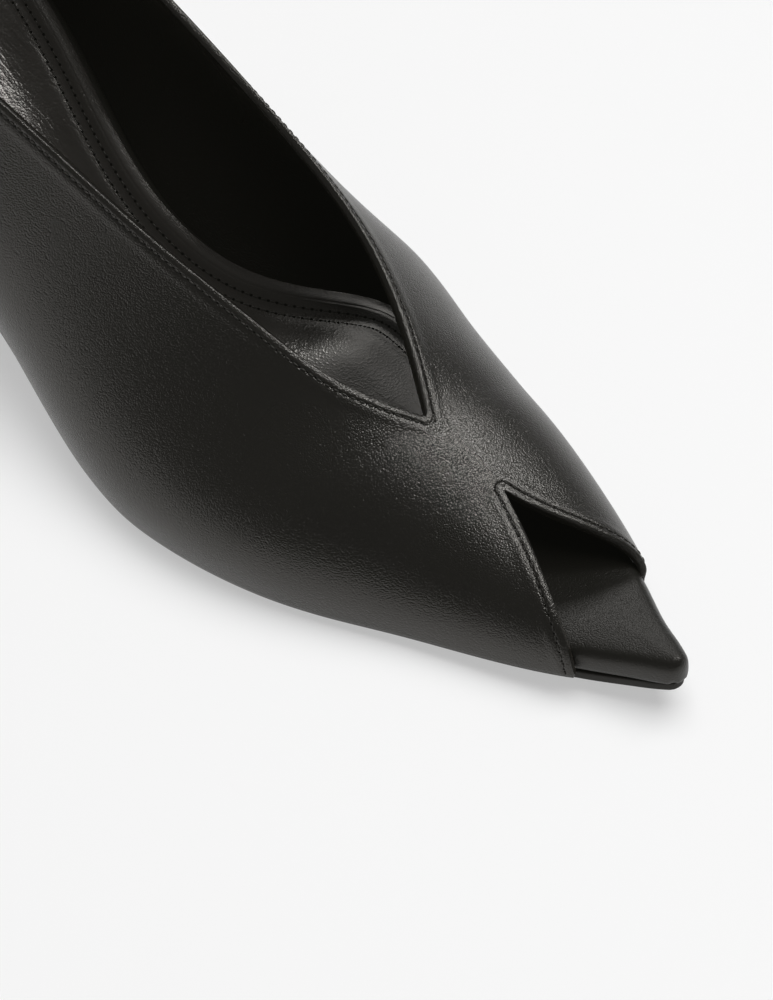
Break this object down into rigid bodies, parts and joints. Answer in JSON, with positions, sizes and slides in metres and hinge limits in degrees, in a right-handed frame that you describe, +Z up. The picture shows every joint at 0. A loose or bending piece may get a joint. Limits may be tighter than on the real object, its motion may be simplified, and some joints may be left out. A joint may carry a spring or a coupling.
{
  "type": "pointed toe pump",
  "caption": "Right shoe: black leather pump with a pointed open toe, a V-shaped toe cut, a V throat, a padded sock, a thin sole and a slim mid-height heel.",
  "frame": {"origin": "on the floor, under the middle of the shoe's bounding box", "axes": "+Y from the toe to the heel, +X towards the inner side of the right foot, +Z up"},
  "size_m": [0.0716, 0.2408, 0.101],
  "materials": {
    "upper": "smooth black leather with a fine grain, satin",
    "insole": "black leather cover, satin",
    "sock": "glossy black lining leather",
    "outsole": "dark sole leather, matte",
    "heel": "leather-covered heel, satin",
    "top_piece": "matte black rubber"
  },
  "bodies": {
    "root": {"upper": "upper", "insole": "insole", "sock": "sock", "outsole": "outsole", "heel": "heel", "top_piece": "top_piece"}
  },
  "joints": []
}
